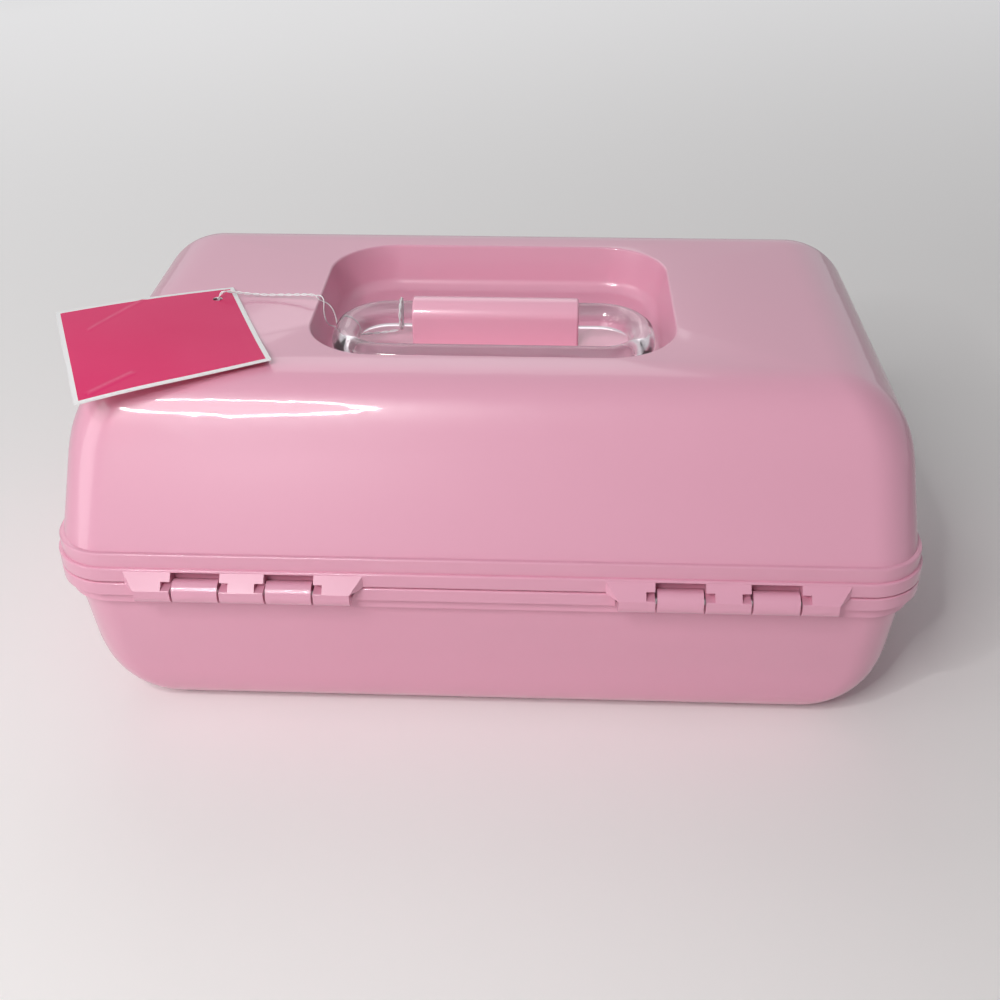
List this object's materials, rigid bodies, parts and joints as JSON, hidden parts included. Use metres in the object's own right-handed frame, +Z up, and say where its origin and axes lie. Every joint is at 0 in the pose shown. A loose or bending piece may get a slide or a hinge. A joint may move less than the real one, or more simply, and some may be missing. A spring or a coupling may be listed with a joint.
{
  "type": "makeup storage case",
  "caption": "Hinged plastic makeup case with a domed lid, a folding loop handle in a top recess, lift-up trays, a lid mirror and a hang tag.",
  "frame": {"origin": "centre of the flat underside of the closed case, on the surface it stands on", "axes": "+X along the case, -Y towards the latch side, +Y towards the hinge side, +Z up"},
  "size_m": [0.3408, 0.233, 0.1456],
  "materials": {
    "case_pink": "satin gloss moulded plastic, soft pink",
    "tray_pink": "satin moulded plastic, paler pink",
    "clear_handle": "clear gloss plastic",
    "pin_steel": "plain steel",
    "mirror_glass": "silvered glass",
    "tag_card": "coated card, magenta with a white border",
    "clear_string": "clear twisted nylon"
  },
  "bodies": {
    "base": {"base_shell": "case_pink", "hinge_pin_left": "pin_steel", "hinge_pin_right": "pin_steel", "arm_pivot_pins": "pin_steel"},
    "lid": {"lid_shell": "case_pink", "handle_saddle": "case_pink", "latch_pin": "pin_steel", "mirror_frame": "tray_pink", "mirror_plate": "mirror_glass", "mirror_screws": "pin_steel", "link_upper_pins": "pin_steel", "hang_tag": "tag_card", "tag_string": "clear_string", "string_loop": "clear_string"},
    "handle": {"handle_loop": "clear_handle"},
    "latch": {"latch_lever": "case_pink"},
    "rear_arms": {"rear_arm_left": "tray_pink", "rear_arm_right": "tray_pink", "link_lower_pins": "pin_steel"},
    "front_arms": {"front_arm_left": "tray_pink", "front_arm_right": "tray_pink"},
    "lift_links": {"lift_link_left": "tray_pink", "lift_link_right": "tray_pink"},
    "lower_tray": {"lower_tray": "tray_pink", "lower_tray_pins": "pin_steel"},
    "upper_tray": {"upper_tray": "tray_pink", "upper_tray_pins": "pin_steel"}
  },
  "joints": [
    {"name": "lid_hinge", "type": "hinge", "parent": "base", "child": "lid", "pos_m": [0, 0.112, 0.0695], "axis": [-1, 0, 0], "range_deg": [0, 95]},
    {"name": "handle_pivot", "type": "hinge", "parent": "lid", "child": "handle", "pos_m": [0, 0, 0.1326], "axis": [1, 0, 0], "range_deg": [0, 180]},
    {"name": "latch_pivot", "type": "hinge", "parent": "lid", "child": "latch", "pos_m": [0, -0.1133, 0.0775], "axis": [-1, 0, 0], "range_deg": [0, 70]},
    {"name": "rear_arm_pivot", "type": "hinge", "parent": "base", "child": "rear_arms", "pos_m": [0, 0.052, 0.03], "axis": [-1, 0, 0], "range_deg": [0, 95]},
    {"name": "front_arm_pivot", "type": "hinge", "parent": "base", "child": "front_arms", "pos_m": [0, -0.02, 0.03], "axis": [-1, 0, 0], "range_deg": [0, 95]},
    {"name": "lift_link_pivot", "type": "hinge", "parent": "rear_arms", "child": "lift_links", "pos_m": [0, 0.00487, 0.05198], "axis": [-1, 0, 0], "range_deg": [-95, 0]},
    {"name": "lower_tray_pivot", "type": "hinge", "parent": "rear_arms", "child": "lower_tray", "pos_m": [0, 0.02028, 0.04479], "axis": [-1, 0, 0], "range_deg": [-95, 0]},
    {"name": "upper_tray_pivot", "type": "hinge", "parent": "rear_arms", "child": "upper_tray", "pos_m": [0, -0.01597, 0.0617], "axis": [-1, 0, 0], "range_deg": [-95, 0]}
  ],
  "couplings": [
    {"joint": "rear_arm_pivot", "follows": "lid_hinge", "ratio": 1},
    {"joint": "front_arm_pivot", "follows": "lid_hinge", "ratio": 1},
    {"joint": "lift_link_pivot", "follows": "lid_hinge", "ratio": -1},
    {"joint": "lower_tray_pivot", "follows": "lid_hinge", "ratio": -1},
    {"joint": "upper_tray_pivot", "follows": "lid_hinge", "ratio": -1}
  ]
}
